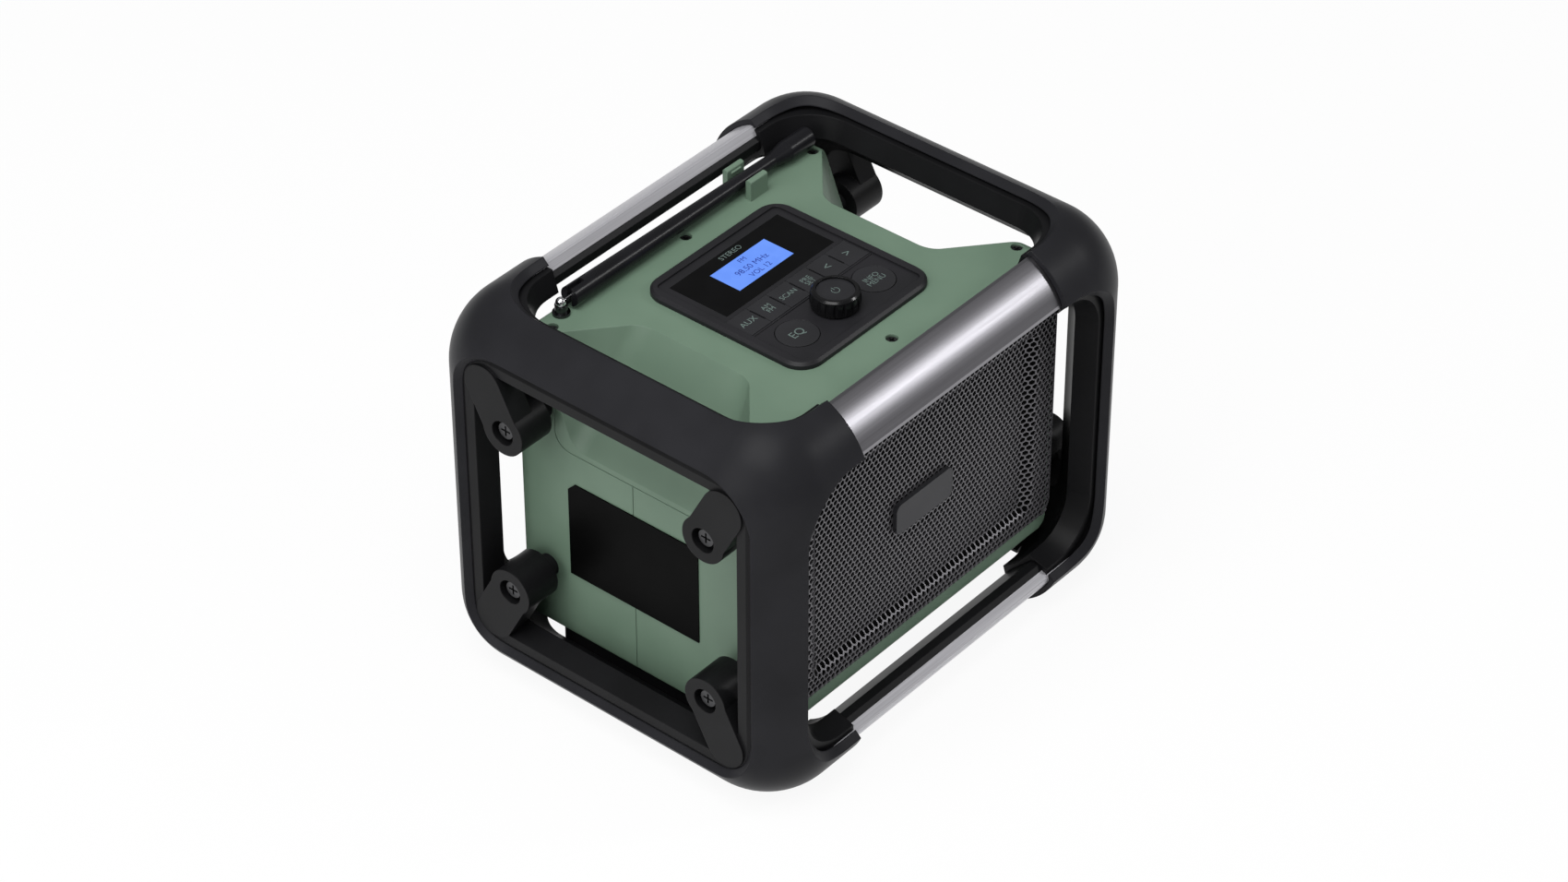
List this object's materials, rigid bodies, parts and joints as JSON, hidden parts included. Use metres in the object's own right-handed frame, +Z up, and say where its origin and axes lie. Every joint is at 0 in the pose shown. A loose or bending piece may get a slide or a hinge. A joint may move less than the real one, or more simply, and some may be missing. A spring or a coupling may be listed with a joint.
{
  "type": "jobsite radio",
  "caption": "Rugged jobsite radio: a two-speaker housing hung in a rubber-cornered roll cage with a carry handle, folding antenna, keys, knob and battery bay.",
  "frame": {"origin": "on the ground, under the middle of the roll cage", "axes": "+X along the handle, to the right of someone facing the loudspeakers; -Y is the way the loudspeakers face; +Z up"},
  "size_m": [0.231, 0.1878, 0.1814],
  "materials": {
    "bumper_rubber": "soft satin overmould",
    "black_plastic": "fine-grained moulded plastic",
    "green_plastic": "fine-grained moulded plastic",
    "bar_metal": "satin anodised",
    "handle_metal": "brushed",
    "bush_rubber": "matte",
    "screw_steel": "dark plated",
    "grille_steel": "perforated sheet, powder coated",
    "badge": "bare, satin",
    "label": "bare, satin",
    "panel_plastic": "fine-grained moulded plastic",
    "window": "glossy, smoked",
    "display": "backlit display",
    "key_plastic": "satin",
    "knob_gloss": "glossy",
    "encoder_steel": "plain",
    "soft_rubber": "matte",
    "circuit_board": "populated board",
    "sink_aluminium": "extruded",
    "socket_plastic": "plain",
    "jack_metal": "plated",
    "antenna_chrome": "polished",
    "antenna_rubber": "satin",
    "basket_steel": "pressed steel",
    "cone": "treated paper and rubber",
    "magnet": "ferrite and steel"
  },
  "bodies": {
    "radio": {"bumper_left": "bumper_rubber", "bumper_right": "bumper_rubber", "frame_left": "black_plastic", "frame_right": "black_plastic", "handle_core": "black_plastic", "top_back_core": "black_plastic", "bottom_front_core": "black_plastic", "bottom_back_core": "black_plastic", "base_tray": "black_plastic", "top_cover": "green_plastic", "front_shell": "green_plastic", "rear_shell": "green_plastic", "top_back_bar": "bar_metal", "bottom_front_bar": "bar_metal", "bottom_back_bar": "bar_metal", "carry_handle": "handle_metal", "lug_bushes": "bush_rubber", "lug_screws": "screw_steel", "cover_screws": "screw_steel", "rear_screws": "screw_steel", "door_hinge_pins": "screw_steel", "grille": "grille_steel", "badge_plate": "badge", "label_plate": "label", "control_bezel": "panel_plastic", "control_panel": "panel_plastic", "display_window": "window", "lcd_module": "display", "encoder": "encoder_steel", "key_mat": "soft_rubber", "control_board": "circuit_board", "main_board": "circuit_board", "power_converter": "circuit_board", "heat_sink": "sink_aluminium", "battery_terminal": "socket_plastic", "socket_block": "socket_plastic", "power_jack": "jack_metal", "antenna_post": "antenna_chrome", "speaker_basket_left": "basket_steel", "speaker_basket_right": "basket_steel", "speaker_cone_left": "cone", "speaker_cone_right": "cone", "speaker_magnet_left": "magnet", "speaker_magnet_right": "magnet"},
    "key_1": {"key_1": "key_plastic"},
    "key_2": {"key_2": "key_plastic"},
    "key_3": {"key_3": "key_plastic"},
    "key_4": {"key_4": "key_plastic"},
    "key_5": {"key_5": "key_plastic"},
    "key_6": {"key_6": "key_plastic"},
    "button_left": {"button_left": "key_plastic"},
    "button_right": {"button_right": "key_plastic"},
    "knob_shaft": {"encoder_shaft": "encoder_steel"},
    "knob": {"volume_knob": "knob_gloss", "knob_cap": "knob_gloss"},
    "antenna": {"antenna_link": "antenna_chrome", "antenna_whip": "antenna_rubber", "antenna_tip": "antenna_rubber"},
    "battery_door": {"battery_door": "green_plastic"},
    "socket_flap": {"socket_flap": "soft_rubber"}
  },
  "joints": [
    {"name": "key_1_press", "type": "slide", "parent": "radio", "child": "key_1", "axis": [0, 0, -1], "range_m": [0, 0.0008], "stiffness_N_per_m": 600},
    {"name": "key_2_press", "type": "slide", "parent": "radio", "child": "key_2", "axis": [0, 0, -1], "range_m": [0, 0.0008], "stiffness_N_per_m": 600},
    {"name": "key_3_press", "type": "slide", "parent": "radio", "child": "key_3", "axis": [0, 0, -1], "range_m": [0, 0.0008], "stiffness_N_per_m": 600},
    {"name": "key_4_press", "type": "slide", "parent": "radio", "child": "key_4", "axis": [0, 0, -1], "range_m": [0, 0.0008], "stiffness_N_per_m": 600},
    {"name": "key_5_press", "type": "slide", "parent": "radio", "child": "key_5", "axis": [0, 0, -1], "range_m": [0, 0.0008], "stiffness_N_per_m": 600},
    {"name": "key_6_press", "type": "slide", "parent": "radio", "child": "key_6", "axis": [0, 0, -1], "range_m": [0, 0.0008], "stiffness_N_per_m": 600},
    {"name": "button_left_press", "type": "slide", "parent": "radio", "child": "button_left", "axis": [0, 0, -1], "range_m": [0, 0.0008], "stiffness_N_per_m": 600},
    {"name": "button_right_press", "type": "slide", "parent": "radio", "child": "button_right", "axis": [0, 0, -1], "range_m": [0, 0.0008], "stiffness_N_per_m": 600},
    {"name": "knob_press", "type": "slide", "parent": "radio", "child": "knob_shaft", "axis": [0, 0, -1], "range_m": [0, 0.0007], "stiffness_N_per_m": 800},
    {"name": "knob_turn", "type": "hinge", "parent": "knob_shaft", "child": "knob", "pos_m": [0, -0.025, 0.17], "axis": [0, 0, 1], "continuous": true},
    {"name": "antenna_fold", "type": "hinge", "parent": "radio", "child": "antenna", "pos_m": [-0.072, 0.0572, 0.1696], "axis": [0, -1, 0], "range_deg": [0, 120]},
    {"name": "battery_door_swing", "type": "hinge", "parent": "radio", "child": "battery_door", "pos_m": [-0.0472, 0.0681, 0.073], "axis": [0, 0, 1], "range_deg": [0, 100]},
    {"name": "socket_flap_swing", "type": "hinge", "parent": "radio", "child": "socket_flap", "pos_m": [0.067, 0.06675, 0.0606], "axis": [-1, 0, 0], "range_deg": [0, 110]}
  ]
}
